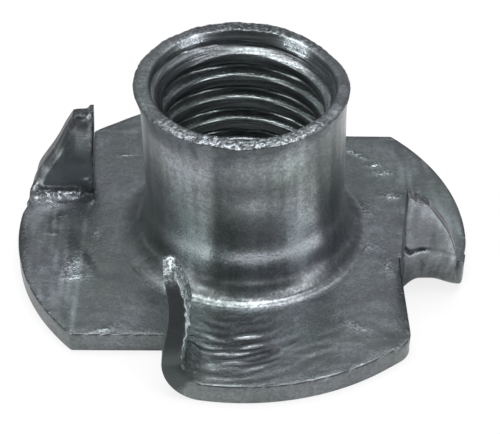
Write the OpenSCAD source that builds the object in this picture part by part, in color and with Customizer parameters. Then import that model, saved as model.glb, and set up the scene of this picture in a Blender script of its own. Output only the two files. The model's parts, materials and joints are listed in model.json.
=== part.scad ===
// Four-prong tee nut: one steel blank, drawn up into a threaded barrel and lanced into four prongs.
// The nut stands on its flange. The origin is on the barrel's axis, at the underside of the flange,
// and one prong points along -Y.

/* [Thread] */
// Nominal diameter of the thread
thread_d = 10; // [8:0.5:12]
// Height of the thread form, from its root to its crest
thread_depth = 0.65; // [0.4:0.05:0.9]
// Width by which the mouth is wider than the clear bore, on each side
mouth_flare = 0.55; // [0.2:0.05:0.6]
// Depth of the tapered mouth, down from the rim
mouth_depth = 0.75; // [0.3:0.05:1.5]

/* [Barrel] */
// Wall of the barrel behind the thread roots
root_wall = 0.5; // [0.3:0.05:1.2]
// Height from the underside of the flange to the rim
nut_h = 11.4; // [9:0.1:18]
// Distance that the flared lip stands out from the barrel
lip_out = 0.35; // [0.1:0.05:0.6]
// Height over which the lip flares out
lip_h = 1.8; // [1:0.1:2.5]
// Radius of the fillet between barrel and flange
fillet_r = 1.5; // [0.5:0.1:1.8]
// Radius at which the underside is drawn up into the bore
draw_r = 1.4; // [0.8:0.1:1.8]

/* [Flange] */
// Diameter across the lobes
flange_d = 25.5; // [24:0.1:32]
// Thickness of the sheet
sheet_t = 1.2; // [0.8:0.05:1.6]

/* [Prongs] */
// Number of prongs
prong_count = 4; // [3:1:5]
// Depth of the lanced cut, in from the edge of the flange
cut_depth = 3.85; // [3:0.05:4.2]
// Distance from the prong's back to the plane through the barrel's axis
prong_back = 4.2; // [3.6:0.05:5]
// Height of the prong's tip above the underside of the flange
prong_h = 6.6; // [5.2:0.1:8]
// Radius inside the prong's fold
fold_r = 0.7; // [0.3:0.05:1.2]
// Height at which the prong's outer edge starts to sweep in
sweep_h = 2.3; // [1.8:0.1:3.5]
// Thickness of the prong at its tip
tip_t = 0.7; // [0.4:0.05:0.8]
// Width of the prong at its tip
tip_w = 0.95; // [0.5:0.05:1.5]
// Height by which the blunt tip falls away towards the prong's outer edge
tip_drop = 0.25; // [0:0.05:0.6]
// Radius of the web left in the root of each cut
root_r = 0.8; // [0.4:0.05:1]

/* [Hidden] */
$fn = 96;
zinc = [0.55, 0.58, 0.59];
// Length by which a cut runs past what it cuts
past = 1;

bore_r = thread_d / 2 - thread_depth;
barrel_r = thread_d / 2 + root_wall;
flange_r = flange_d / 2;
cut_u = flange_r - cut_depth;
// The lip's arc leaves the barrel upright, so its radius follows from its rise and its reach
lip_arc_r = (lip_h * lip_h + lip_out * lip_out) / (2 * lip_out);
// The fold runs from the flat sheet at fold_start to the prong's upright back
fold_outer_r = fold_r + sheet_t;
fold_start = prong_back - fold_outer_r;
prong_front = fold_start + fold_r;
// The prong's edge is the flange's own edge, carried round the fold at the sheet's middle layer
fold_len = (fold_r + sheet_t / 2) * PI / 2;
fold_top_u = sqrt(flange_r * flange_r - pow(fold_start + fold_len, 2));
// The sweep never starts below the top of the fold
sweep_z = max(sweep_h, fold_outer_r + 0.1);

// Outside of the barrel and flange as a half section: wall, fillet at its foot, flared lip and sheet
module outer_half() {
    square([barrel_r, nut_h]);
    square([flange_r, sheet_t]);
    difference() {
        translate([0, sheet_t])
            square([barrel_r + fillet_r, fillet_r]);
        translate([barrel_r + fillet_r, sheet_t + fillet_r])
            circle(r = fillet_r);
    }
    difference() {
        translate([0, nut_h - lip_h])
            square([barrel_r + lip_out, lip_h]);
        translate([barrel_r + lip_arc_r, nut_h - lip_h])
            circle(r = lip_arc_r, $fn = 360);
    }
}

// Bore as a half section: clear hole, tapered mouth and the radius drawn up from the underside
module bore_half() {
    translate([0, -past])
        square([bore_r, nut_h + 2 * past]);
    polygon([
        [0, nut_h - mouth_depth],
        [bore_r, nut_h - mouth_depth],
        [bore_r + mouth_flare, nut_h],
        [bore_r + mouth_flare, nut_h + past],
        [0, nut_h + past]
    ]);
    difference() {
        square([bore_r + draw_r, draw_r]);
        translate([bore_r + draw_r, draw_r])
            circle(r = draw_r);
    }
}

// What one lanced cut frees of the sheet, up to the line where the prong's fold starts
module cut() {
    translate([-flange_r - past, -flange_r - past, -past])
        cube([flange_r + past - fold_start, cut_depth + past, sheet_t + 2 * past]);
}

// Section of a prong, across its fold: flat sheet, quarter bend and tapered blade
module prong_section() {
    translate([fold_start - past, 0])
        square([past, sheet_t]);
    intersection() {
        translate([fold_start, fold_outer_r])
            difference() {
                circle(r = fold_outer_r);
                circle(r = fold_r);
            }
        translate([fold_start, 0])
            square(fold_outer_r);
    }
    polygon([
        [prong_front, fold_outer_r],
        [prong_back, fold_outer_r],
        [prong_front + tip_t, prong_h],
        [prong_front, prong_h]
    ]);
}

// Side view of a prong, from the barrel outwards: upright inner edge, blunt tip and swept outer edge
module prong_side() {
    polygon([
        [cut_u, prong_h],
        [cut_u, -past],
        [flange_r + past, -past],
        [flange_r + past, sheet_t],
        [fold_top_u, fold_outer_r],
        [fold_top_u, sweep_z],
        [cut_u + tip_w, prong_h - tip_drop]
    ]);
}

// Plan of the web of sheet that is left in the root of a cut, with a rounded corner
module root_web() {
    web_s = fold_start + fold_r + root_r;
    difference() {
        translate([-web_s, -cut_u - root_r])
            square([web_s - fold_start + past, root_r + past]);
        translate([-web_s, -cut_u - root_r])
            circle(r = root_r);
    }
}

// One prong: its section carried outwards and trimmed to its side view, with the web at its root
module prong() {
    intersection() {
        cylinder(r = flange_r, h = prong_h + past);
        translate([0, past - cut_u, 0])
            rotate([90, 0, 0])
                linear_extrude(cut_depth + 2 * past)
                    mirror([1, 0])
                        prong_section();
        rotate([90, 0, -90])
            linear_extrude(prong_back + past)
                prong_side();
    }
    linear_extrude(sheet_t)
        root_web();
}

// The whole nut: the drawn barrel and sheet, cut and folded up at each prong
module tee_nut() {
    color(zinc) {
        difference() {
            rotate_extrude()
                difference() {
                    outer_half();
                    bore_half();
                }
            for (i = [0 : prong_count - 1])
                rotate(i * 360 / prong_count)
                    cut();
        }
        for (i = [0 : prong_count - 1])
            rotate(i * 360 / prong_count)
                prong();
    }
}

tee_nut();
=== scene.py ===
"""Four-prong tee nut in bright zinc: drawn and threaded barrel, sheared round flange, four lanced prongs.

The nut is one pressed piece of sheet, so it is one closed skin here too. Its plan is worked out flat, as the
blank was before the prongs were folded up, and each prong's part of the skin is then carried round its fold.
Plan points are complex numbers, x + iy, in millimetres, and heights are millimetres above the underside.
"""

import json
import math

import bpy
import numpy as np
from mathutils import Matrix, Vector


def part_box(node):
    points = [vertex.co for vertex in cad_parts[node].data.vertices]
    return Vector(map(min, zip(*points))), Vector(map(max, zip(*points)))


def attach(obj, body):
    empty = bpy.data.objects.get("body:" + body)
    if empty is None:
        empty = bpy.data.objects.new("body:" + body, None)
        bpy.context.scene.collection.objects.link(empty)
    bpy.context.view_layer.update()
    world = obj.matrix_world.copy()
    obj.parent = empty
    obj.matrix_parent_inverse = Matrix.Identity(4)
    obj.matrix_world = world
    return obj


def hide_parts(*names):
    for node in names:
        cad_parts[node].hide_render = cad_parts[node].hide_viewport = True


bl_info = {
    "name": "Four-prong tee nut",
    "version": (1, 0, 0),
    "blender": (4, 5, 0),
    "location": "View3D > Sidebar > Tee nut",
    "description": "Builds a zinc plated four-prong tee nut and a plain studio round it",
    "category": "Add Mesh",
}

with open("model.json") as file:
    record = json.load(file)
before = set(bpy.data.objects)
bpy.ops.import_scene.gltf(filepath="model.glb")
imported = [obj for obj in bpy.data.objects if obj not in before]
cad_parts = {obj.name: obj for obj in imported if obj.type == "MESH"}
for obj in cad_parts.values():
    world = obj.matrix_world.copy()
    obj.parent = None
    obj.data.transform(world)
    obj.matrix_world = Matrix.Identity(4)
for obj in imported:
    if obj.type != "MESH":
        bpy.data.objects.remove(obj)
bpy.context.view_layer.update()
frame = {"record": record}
NODE = "tee_nut"
BODY = "root"
MM = 0.001
MOUNTS = {mount["name"]: mount for mount in frame["record"]["mounts"]}
NODE_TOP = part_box(NODE)[1]

PRONGS = 4
# Each quarter's turn as a unit complex number: the first prong points along -Y
TURNS = 1j ** np.arange(PRONGS)
# Order in which the quarters follow each other clockwise
CLOCKWISE = np.array([0, 3, 2, 1])
# Finishes of the skin's faces, in the order of FINISHES
SHEET, BARREL, SHEARED, THREAD = range(4)


# ---------------------------------------------------------------------------------------------------------
# Sizes and colours
# ---------------------------------------------------------------------------------------------------------


def length(name, description, default):
    """A length of the nut, in millimetres"""
    return bpy.props.FloatProperty(name=name, description=description, default=default, min=0, precision=3)


def tint(name, description, default):
    """A colour of the plating"""
    return bpy.props.FloatVectorProperty(
        name=name, description=description, subtype="COLOR", size=3, min=0, max=1, default=default
    )


def turn_of(name, description, degrees):
    """An angle of the camera"""
    return bpy.props.FloatProperty(
        name=name, description=description, subtype="ANGLE", default=math.radians(degrees)
    )


class NutSizes(bpy.types.PropertyGroup):
    flange_r: length("Flange radius", "Radius of the lobes", NODE_TOP.x / MM)
    height: length("Height", "Underside of the flange to the rim", NODE_TOP.z / MM)
    sheet: length("Sheet", "Thickness of the sheet", MOUNTS["seat"]["pos_m"][2] / MM)
    crest_r: length("Thread crest", "Radius of the clear bore", MOUNTS["thread"]["dims"]["r_mm"])
    thread_depth: length("Thread depth", "Height of the thread form", 0.65)
    pitch: length("Pitch", "Rise of the thread in one turn", 1.5)
    barrel_r: length("Barrel radius", "Outer radius of the barrel", 5.56)
    lip_r: length("Lip radius", "Outer radius of the flared rim", 5.85)
    fillet: length("Fillet", "Radius between barrel and flange", 1.5)
    draw: length("Draw radius", "Radius under the bore", 1.4)
    cut_u: length("Cut line", "Distance of the lanced chord from the axis", 8.9)
    slit_s: length("Slit end", "Distance at which the lanced slit stops beside the prong", 2.5)
    prong_back: length("Prong back", "Distance of the prong's back from the radius it stands beside", 4.2)
    bend: length("Bend", "Outer radius of the prong's fold", 1.9)


class NutFinish(bpy.types.PropertyGroup):
    zinc: tint("Zinc", "Colour of the bright plating", (0.215, 0.232, 0.238))
    # The dull colour is also where painted shade darkens the plating
    dull_and_shade: tint("Dull zinc", "Colour of the plating where it is thin or stained", (0.085, 0.092, 0.096))
    # The polished colour is also where painted highlights lighten the plating
    polished_and_highlight: tint("Polished zinc", "Colour of the plating where tools have rubbed it", (0.5, 0.555, 0.575))
    green: tint("Green film", "Tint of one part of the passivated film", (0.95, 1.0, 0.96))
    violet: tint("Violet film", "Tint of the other part of the film", (0.98, 0.96, 1.0))
    gloss: bpy.props.FloatProperty(
        name="Roughness", description="Roughness of the bright plating", subtype="FACTOR", default=0.27,
        min=0, max=1,
    )


class NutStudio(bpy.types.PropertyGroup):
    azimuth: turn_of("Azimuth", "Turn of the camera from the front", -0.753)
    elevation: turn_of("Elevation", "Height of the camera as an angle", 39.59)
    roll: turn_of("Roll", "Tilt of the camera about its own axis", 1.01)
    distance: length("Distance", "Camera to the point it looks at", 92.55)
    aim_height: length("Aim height", "Height of the point the camera looks at", 1.993)
    aim_side: length("Aim side", "Sideways step of the point the camera looks at", 0.42)
    lens: bpy.props.FloatProperty(name="Lens", description="Focal length in mm", default=117.0)


# ---------------------------------------------------------------------------------------------------------
# Curves and small fields
# ---------------------------------------------------------------------------------------------------------


def smooth(x, low, high):
    """0 below low and 1 above high, with 3x^2 - 2x^3 between"""
    x = np.clip((x - low) / (high - low), 0, 1)
    return x * x * (3 - 2 * x)


def bell(x, middle, width):
    """exp(-((x - middle) / width)^2)"""
    return np.exp(-(((x - middle) / width) ** 2))


def spread(count, ends=0.0):
    """count + 1 steps from 0 to 1: x - ends * sin(2 pi x) / (2 pi), closer at both ends where ends > 0"""
    x = np.linspace(0, 1, count + 1)
    return x - ends * np.sin(2 * math.pi * x) / (2 * math.pi)


def soft_max(a, b, width):
    """The larger of two values, rounded where they cross: w ln(exp(a / w) + exp(b / w))"""
    return width * np.logaddexp(a / width, b / width)


def each(values, prong):
    """The value that belongs to a point's own prong"""
    return np.array(values)[prong]


def angle_gap(angle, middle):
    """Signed degrees from middle to an angle in radians, by the shorter way round"""
    return (np.degrees(angle) - middle + 180) % 360 - 180


def ripple(angle, seed, low, high, terms=24):
    """Sum of cos(n a + phase) for whole numbers n from low to high, closed over the turn, about 1 high"""
    pick = np.random.default_rng(seed)
    total = np.zeros_like(angle)
    for n, phase in zip(pick.integers(low, high, terms), pick.uniform(0, 2 * math.pi, terms)):
        total += np.cos(n * angle + phase)
    return total / math.sqrt(terms / 2)


def swell(plan, seed, wave, terms=24):
    """Sum of cos(k . p + phase) with wave numbers of random direction round one wavelength, about 1 high"""
    pick = np.random.default_rng(seed)
    total = np.zeros(plan.shape)
    for way, size, phase in pick.uniform(0, 1, (terms, 3)):
        k = 2 * math.pi / (wave * (0.7 + 0.8 * size))
        total += np.cos((plan * np.exp(2j * math.pi * way)).real * k + 2 * math.pi * phase)
    return total / math.sqrt(terms / 2)


# ---------------------------------------------------------------------------------------------------------
# The blank and its folds
# ---------------------------------------------------------------------------------------------------------


# Radius of each lobe's corner at the end of the chord beside prongs 0 to 3
CORNER_R = (0.25, 1.5, 0.25, 0.3)
# How far each prong's inner edge stands out from the cut line, and the same for the far end of its chord
EDGE_SHIFTS = (0.0, -0.1, 0.0, -0.2)
CHORD_SHIFTS = (0.03, 0.1, 0.0, 0.22)
# Sideways bow of each blade at mid height, and how far its tip leans in towards the barrel
BOWS = (-0.42, -0.05, -0.1, 0.0)
TIP_LEANS = (0.0, 0.05, 0.1, 0.16)
# How much each blade's outer edge is swept in at its fold and out above it
SWEEPS = (0.0, 1.2, 0.3, -0.7)
# How much wider each fold is in its middle, and how much tighter at its outer end
BENDS = (0.22, 0.3, 0.0, 0.1)
PINCHES = (0.0, 0.75, 0.0, 0.0)
# Least radius inside a fold, and how far before the slit's end the sheet starts to give
TIGHTEST = 0.12
GIVE = 0.4
# Part of the blade's thickness that is lost towards its tip
THINNED = 0.38
# Distances in the blank at which a prong's outer edge leaves the circle and bends in, and how steeply it does
EDGE_LEAVES = 4.4
EDGE_BENDS = 5.0
EDGE_SLOPE = 0.535
# How much further than square to it that edge is drawn in, because it slants
EDGE_SLANT = 1.08
# Distance of the tip in the blank, and the length of chord over which the shift of its far end grows
TIP_S = 9.1
CHORD_RUN = 6.6
# Steps out from the cut line, and the height of each prong's tip there: its point, shoulder and outer corner
TIP_STEPS = (0.0, 0.22, 0.38, 0.7, 0.95)
TIP_HEIGHTS = (
    (6.55, 6.66, 6.64, 6.5, 6.15),
    (6.9, 6.82, 6.72, 6.5, 6.2),
    (6.75, 6.72, 6.5, 6.42, 6.35),
    (6.75, 6.72, 6.5, 6.42, 6.35),
)
# Radii of the outline's upper and lower edge
EDGE_TOP = 0.06
EDGE_UNDER = 0.05
# Columns of the skin in each quarter: along the lobe, across the slit's end and along the chord
LOBE_COLUMNS = 50
SLIT_COLUMNS = 24
CHORD_COLUMNS = 30
ROOT = LOBE_COLUMNS + SLIT_COLUMNS
QUARTER = ROOT + CHORD_COLUMNS
# Rows of the skin: up each blade, across the flange's face and its underside, up the bore's foot and thread
BLADE_ROWS = 56
FACE_ROWS = 52
UNDER_ROWS = 11
DRAW_ROWS = 8
THREAD_ROWS = 112


def to_plan(u, s, turn):
    """Plan point at u along a prong's radius and s clockwise from it: -i turn (u - is)"""
    return -1j * turn * (u - 1j * s)


def from_plan(plan, turn):
    """The u and s of a plan point"""
    local = 1j * np.conj(turn) * plan
    return local.real, -local.imag


def corner_reach(angle, size, sizes):
    """Radius to a lobe's rounded corner: an arc of radius q that touches chord and circle, where it lies"""
    u = sizes.cut_u - size
    s = np.sqrt((sizes.flange_r - size) ** 2 - u * u)
    along = u * np.cos(angle) + s * np.sin(angle)
    root = along**2 - u * u - s * s + size * size
    inside = (angle >= np.arctan2(s, sizes.cut_u)) & (angle <= np.arctan2(s, u)) & (root >= 0)
    return np.where(inside, along + np.sqrt(np.maximum(root, 0)), np.inf)


def outline(angle, far, near, sizes):
    """Radius of the flange at angles clockwise from a prong: the circle, the line s = s0 of the slit's end,
    then the chord u = c, with the corner at the chord's end and the neighbour's at the start rounded"""
    first = math.asin(sizes.slit_s / sizes.flange_r)
    last = math.atan2(sizes.slit_s, sizes.cut_u)
    slit = sizes.slit_s / np.maximum(np.sin(angle), 0.05)
    chord = sizes.cut_u / np.cos(angle)
    reach = np.where(angle <= first, sizes.flange_r, np.where(angle <= last, slit, chord))
    reach = np.minimum(reach, corner_reach(angle, far, sizes))
    return np.minimum(reach, corner_reach(angle + math.pi / 2, near, sizes))


def prong_of(turn):
    """Number of the prong at a quarter's turn"""
    return np.rint(np.angle(turn) / (math.pi / 2)).astype(int) % PRONGS


def edge_distance(plan, turn, sizes):
    """Distance in the blank from a point to the circle, or to its own quarter's or its neighbour's slit"""
    gap = sizes.flange_r - abs(plan)
    for way in (turn, turn * 1j):
        u, s = from_plan(plan, way)
        gap = np.minimum(gap, np.hypot(u - sizes.cut_u, np.maximum(sizes.slit_s - s, 0)))
    return np.maximum(gap, 0)


def fold_radii(u, prong, sizes):
    """Radii of the fold's outside and inside at u.

    The outside is R less 1.5 (1 - (u - c) / 1.1)^2 next to the chord, where the slit pulls it tight. The
    inside is smaller by the sheet, but never under the least radius: a soft maximum of the two.
    """
    outer = sizes.bend - 1.5 * np.clip(1 - (u - sizes.cut_u) / 1.1, 0, 1) ** 2
    outer = outer + each(BENDS, prong) * smooth(u, sizes.cut_u, sizes.cut_u + 1.0)
    outer = outer - each(PINCHES, prong) * smooth(u, 10.6, 12.2)
    return outer, TIGHTEST + soft_max(0, outer - sizes.sheet - TIGHTEST, 0.1)


def fold_reach(u, prong, sizes):
    """Distance s in the blank at which the fold starts at u, its length there, and the height of its top"""
    outer, inner = fold_radii(u, prong, sizes)
    start = sizes.prong_back - sizes.sheet - inner
    return start, (outer + inner) * math.pi / 4, (outer + inner + sizes.sheet) / 2


def fold(plan, height, turn, lifted, sizes):
    """Carry blank points round a prong's fold.

    A layer at height h has its own radius, between the outside's and the inside's, and turns up onto its own
    upright plane, between the prong's back and face. A point at s turns by (s - start) / length of a quarter
    turn, and what is left over goes straight up. A layer whose fold starts later is drawn out to reach it.
    The blade gets thinner towards its tip and bows sideways by a bell over its height.
    """
    u, s = from_plan(plan, turn)
    prong = prong_of(turn)
    outer, inner = fold_radii(u, prong, sizes)
    start, length, top = fold_reach(u, prong, sizes)
    layer = height / sizes.sheet
    radius = outer + (inner - outer) * layer
    first = sizes.prong_back - height - radius
    turning = np.clip((s - start) / length, 0, 1) * math.pi / 2
    spare = np.maximum(s - start - length, 0)
    drawn = s + (first - start) * smooth(s, sizes.slit_s - GIVE, start)
    rise = height + radius * (1 - np.cos(turning))
    rise = rise + spare + (top - height - radius) * smooth(spare, 0, 1.5)
    thin = 1 - THINNED * smooth(rise, 3.2, 7.6)
    side = np.where(s > start, first + radius * np.sin(turning) + height * (1 - thin), drawn)
    side = side + each(BOWS, prong) * bell(rise, 4.6, 1.7) * (s > start)
    moved = u + each(EDGE_SHIFTS, prong) * (1 - smooth(u, sizes.cut_u, sizes.cut_u + 1.6))
    moved = moved - each(TIP_LEANS, prong) * smooth(rise, 1.5, 7.0) * (s > start)
    swept = 0.2 * bell(rise, 4.8, 1.3) - 0.3 * smooth(s, 2.6, 3.8) * bell(rise, 1.2, 1.2)
    moved = moved + each(SWEEPS, prong) * swept * smooth(u, 9.6, 11.6) * (s > sizes.slit_s)
    lifted = lifted & (s > sizes.slit_s - GIVE)
    plan = np.where(lifted, to_plan(moved, side, turn), plan + chord_shift(plan, sizes))
    return plan, np.where(lifted & (s > start), rise, height)


def chord_shift(plan, sizes):
    """Small shift of each chord along its prong's radius, which fades inwards and changes evenly along it"""
    total = np.zeros(plan.shape, complex)
    for turn, near, far in zip(TURNS, EDGE_SHIFTS, CHORD_SHIFTS):
        u, s = from_plan(plan, turn)
        share = smooth(u, sizes.cut_u - 1.3, sizes.cut_u) * smooth(s, sizes.slit_s - 1.5, sizes.slit_s)
        along = np.clip((s - sizes.slit_s) / CHORD_RUN, 0, 1)
        total += to_plan(share * (near + (far - near) * along), 0, turn)
    return total


def blade_edge(s, sizes):
    """Outer edge of a prong in the blank: the flange's circle, then a line that bends in towards the tip"""
    arc = np.sqrt(sizes.flange_r**2 - np.minimum(s, EDGE_LEAVES) ** 2)
    return arc - EDGE_SLOPE * soft_max(0, s - EDGE_BENDS, 0.2)


def blade(inset, prong, sizes):
    """Plan of a prong's blade in the blank as u and s, drawn in by an inset from its free edges"""
    share = spread(SLIT_COLUMNS, 0.45)
    tip_u = sizes.cut_u + (blade_edge(TIP_S, sizes) - sizes.cut_u) * (1 - share)
    tip_z = np.interp(tip_u - sizes.cut_u, TIP_STEPS, TIP_HEIGHTS[prong])
    start, length, top = fold_reach(tip_u, prong, sizes)
    tip_s = start + length + tip_z - top
    s = sizes.slit_s + (tip_s - inset - sizes.slit_s) * spread(BLADE_ROWS)[:, None]
    wide = blade_edge(s, sizes) - inset * EDGE_SLANT
    return wide + (sizes.cut_u + inset - wide) * share, s


def blade_bevel(plan, turn, sizes):
    """Depth by which a blade's face falls away along its sheared outer edge: 0.25 (1 - d / 0.6)^2.

    The face of prong 0 is crumbled as well, and prong 3 has a small knob above its fold.
    """
    u, s = from_plan(plan, turn)
    prong = prong_of(turn)
    gap = np.clip(1 - (blade_edge(s, sizes) - u) / 0.6, 0, 1)
    crumbs = 0.05 * swell(plan, 74, 0.4) * (prong == 0) * smooth(s, 4.0, 5.6)
    knob = 0.1 * bell(u, 9.3, 0.25) * bell(s, 4.75, 0.22) * (prong == 3)
    return 0.25 * gap**2 * smooth(s, 3.2, 5.0) + crumbs - knob


def quarter_angles(sizes):
    """Angles clockwise from a prong: along its lobe, across the line of its fold, then along the chord"""
    end = math.acos(sizes.cut_u / sizes.flange_r)
    first = math.asin(sizes.slit_s / sizes.flange_r)
    start = end - math.pi / 2
    lobe = start + (first - start) * spread(LOBE_COLUMNS, 0.55)
    edge = math.sqrt(sizes.flange_r**2 - sizes.slit_s**2)
    slit = np.arctan2(sizes.slit_s, edge + (sizes.cut_u - edge) * spread(SLIT_COLUMNS, 0.45))
    corner = math.sqrt(sizes.flange_r**2 - sizes.cut_u**2)
    chord = np.arctan2(sizes.slit_s + (corner - sizes.slit_s) * spread(CHORD_COLUMNS, 0.6), sizes.cut_u)
    return np.concatenate([lobe[:-1], slit[:-1], chord[:-1]])


# ---------------------------------------------------------------------------------------------------------
# Marks of pressing, shearing and wear
# ---------------------------------------------------------------------------------------------------------


# Waves pressed into the front lobe: radius, middle of the crest and half its length, both in degrees from the
# front, and height
WAVES = (
    (8.5, -2, 16, 0.010),
    (9.22, -11, 7, 0.034),
    (9.25, 6, 10, 0.024),
    (10.22, -10, 6, 0.050),
    (10.1, 3, 9, 0.040),
    (10.6, 1, 12, 0.024),
    (11.2, -3, 14, 0.060),
    (11.7, 2, 10, 0.016),
    (12.15, -2, 16, 0.020),
)

# Scuffed and stained places on the face: x and y, half length, half width, turn in degrees, wear and tone
SCUFFS = (
    (-9.6, -1.3, 1.0, 0.4, 95, 0.5, -0.7),
    (-8.8, -2.7, 1.2, 0.22, 118, 0.6, -0.6),
    (-9.5, -3.3, 0.8, 0.45, 70, 1.0, 0.1),
    (-10.5, -3.6, 0.7, 0.09, 12, 0.9, 0.6),
    (-9.3, -4.3, 0.8, 0.3, 10, 0.9, 0.15),
    (-10.8, -0.7, 0.3, 0.18, 0, 0.8, 0.3),
    (-10.6, 0.8, 0.9, 0.2, 35, 0.5, -0.3),
    (-9.2, 1.4, 1.0, 0.35, 100, 0.3, -0.45),
    (-11.2, 1.7, 0.8, 0.35, 5, 0.2, 0.35),
    (-8.3, -0.6, 0.5, 0.2, 80, 0.5, 0.1),
    (6.7, 7.2, 0.9, 0.2, -38, 1.0, 0.1),
    (7.9, 6.0, 0.45, 0.2, 8, 1.0, 0.15),
    (8.4, 5.25, 0.55, 0.22, 8, 1.0, 0.15),
    (8.8, 3.0, 0.6, 0.24, 4, 1.0, 0.15),
    (6.9, 2.0, 1.1, 0.4, -60, 0.6, -0.1),
    (6.8, -1.6, 0.9, 0.5, 30, 0.5, 0.05),
    (8.2, -3.2, 0.7, 0.3, 100, 0.6, 0.1),
    (-7.1, 6.7, 0.6, 0.1, 5, 0.7, 0.3),
    (-7.2, -8.4, 1.0, 0.2, 20, 0.6, 0.1),
    (6.0, -8.0, 1.2, 0.3, -30, 0.5, 0.1),
    (-11.0, -2.3, 1.5, 1.1, 90, 0.1, -0.3),
    (11.6, 1.2, 2.6, 0.9, 100, 0.0, 0.35),
    (9.0, 6.0, 2.2, 1.6, -40, 0.0, 0.12),
    (-12.35, -1.8, 2.0, 0.22, 97, 0.5, -0.55),
)


def wave_path(plan):
    """Where a point lies across the waves, r + 0.002 (a + 7)^2 with a slow wander, and the degrees a from
    the front"""
    front = angle_gap(np.angle(plan), -90)
    return abs(plan) + 0.002 * np.clip(front + 7, -20, 26) ** 2 + 0.03 * swell(plan, 5, 2.2), front


def pressing_waves(plan, turn, sizes):
    """Height of the marks on the flange's face: crests that climb slowly outwards and fall quickly, fine
    lines between them, shallow dents, and the ramp up to the fold of prong 3"""
    path, front = wave_path(plan)
    path = path + 0.012 * swell(plan, 6, 0.8)
    waves = 0.006 * swell(plan, 11, 2.6) + 0.003 * swell(plan, 12, 1.1)
    for place, middle, half, size in WAVES:
        gap = path - place
        form = np.where(gap < 0, bell(gap, 0, 0.3), bell(gap, 0, 0.15))
        waves = waves + size * form * np.exp(-((abs(front - middle) / half) ** 3))
    waves = waves + 0.023 * drawn_lines(plan)
    u, s = from_plan(plan, turn)
    clear = smooth(edge_distance(plan, turn, sizes), 0.1, 0.4)
    clear = clear * smooth(abs(plan), 6.95, 7.4) * (1 - smooth(s, 1.5, 2.4) * smooth(u, 8.3, 8.8))
    ramp = 0.14 * (prong_of(turn) == 3) * smooth(s, 1.0, 2.9) * bell(u, 10.9, 1.1)
    return waves * clear + ramp


def drawn_lines(plan):
    """Fine lines that run round the front lobe, from about -2 to 2"""
    path, front = wave_path(plan)
    return swell(4 * path + 0.12j * front, 7, 1.7) * bell(front, -1, 17) * bell(abs(plan), 10.2, 2.2)


def scuffs(plan):
    """Wear and tone of the scuffed places: each an ellipse that fades by a bell"""
    worn, tone = np.zeros(plan.shape), np.zeros(plan.shape)
    for x, y, along, across, turn, strength, light in SCUFFS:
        local = (plan - complex(x, y)) * np.exp(-1j * math.radians(turn))
        share = bell(local.real, 0, along) * bell(local.imag, 0, across)
        worn = np.maximum(worn, strength * share)
        tone = tone + light * share
    return worn, tone


# How worn each blade's face is along its outer edge and in its fold, and how worn both sides are at its tip
RIM_WEAR = (0.8, 0.5, 0.5, 0.3)
FOLD_WEAR = (0.3, 0.2, 0.3, 1.0)
TIP_WEAR = (0.9, 0.1, 0.5, 0.3)
# How much the crease on the back of prong 1 falls towards the prong's outer edge
CREASE_SLOPE = 0.1


def blade_marks(plan, turn, lifted, face, sizes):
    """Wear and tone of a prong: faint clouds, the marks of its face or its back, and a scuffed tip"""
    u, s = from_plan(plan, turn)
    prong = prong_of(turn)
    rim = bell(np.maximum(blade_edge(s, sizes) - u, 0), 0, 0.5) * smooth(s, 4.2, 5.2)
    if face:
        worn, tone = face_marks(plan, u, s, prong, rim)
    else:
        worn, tone = back_marks(u, s, prong, rim, sizes)
    tone = tone + 0.07 * swell(3 * u + 0.4j * s, 71, 1.3) + 0.02 * swell(plan, 72, 0.5)
    return np.maximum(worn, each(TIP_WEAR, prong) * smooth(s, 8.2, 8.9)) * lifted, tone * lifted


def face_marks(plan, u, s, prong, rim):
    """Wear and tone of a blade's face.

    Every face is worn along its outer edge and in its fold. Prong 0 is lighter and speckled from its middle
    up.
    Prong 3 has painted light over its middle, painted shade along its edge and in its fold, clouds, a lighter
    strip along its inner edge, and a painted highlight on its knob with painted shade inside the fold.
    """
    front, left = prong == 0, prong == 3
    worn = np.maximum(each(RIM_WEAR, prong) * rim, each(FOLD_WEAR, prong) * bell(s, 2.9, 0.8))
    worn = np.maximum(worn, front * 0.8 * smooth(s, 3.6, 5.4))
    tone = front * (0.3 * rim + 0.8 * smooth(s, 3.8, 5.6))
    # Painted light over the middle of prong 3's face
    middle = 0.6 * bell(s, 5.4, 1.0) * (1 - rim) - 0.15 * smooth(s, 6.0, 7.6) + 0.08
    # Painted shade along prong 3's outer edge and in its fold
    dull_and_shade = 0.4 * rim + 0.7 * rim * bell(s, 4.7, 0.8) + 0.3 * bell(s, 2.9, 0.6) + 0.35 * bell(s, 2.4, 0.25)
    clouds = 0.22 * swell(plan, 75, 1.4) * smooth(s, 4.4, 5.4) + 0.2 * bell(u, 9.05, 0.15)
    # Painted highlight on prong 3's knob, and painted shade inside its fold
    knob = 1.8 * bell(u, 9.25, 0.28) * bell(s, 4.7, 0.22) - 0.4 * bell(u, 9.2, 0.5) * bell(s, 2.8, 0.5)
    return worn, tone + left * (middle - dull_and_shade + clouds + knob)


def back_marks(u, s, prong, rim, sizes):
    """Wear and tone of a blade's back: prong 1 has painted shade in its crease above the fold, a painted
    highlight on the lip below it, is lighter along its outer edge and darker towards its fold
    """
    right = prong == 1
    line = s + CREASE_SLOPE * (u - sizes.cut_u)
    crease = bell(line, 5.7, 0.1) * (1 - 0.8 * smooth(u, 9.8, 10.4))
    lip = bell(line, 5.5, 0.08) * (1 - smooth(u, 9.9, 10.4))
    # Painted highlight on the lip, and painted shade in the crease and at its inner end
    tone = 0.8 * lip - crease - 1.4 * bell(u, 9.05, 0.3) * bell(s, 5.65, 0.18)
    tone = tone + 0.2 * rim - 0.15 * bell(u, 10.3, 0.6) * bell(s, 6.6, 1.0) - 0.3 * (1 - smooth(s, 4.4, 5.4))
    return right * 0.5 * np.maximum(crease, lip), right * tone


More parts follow.
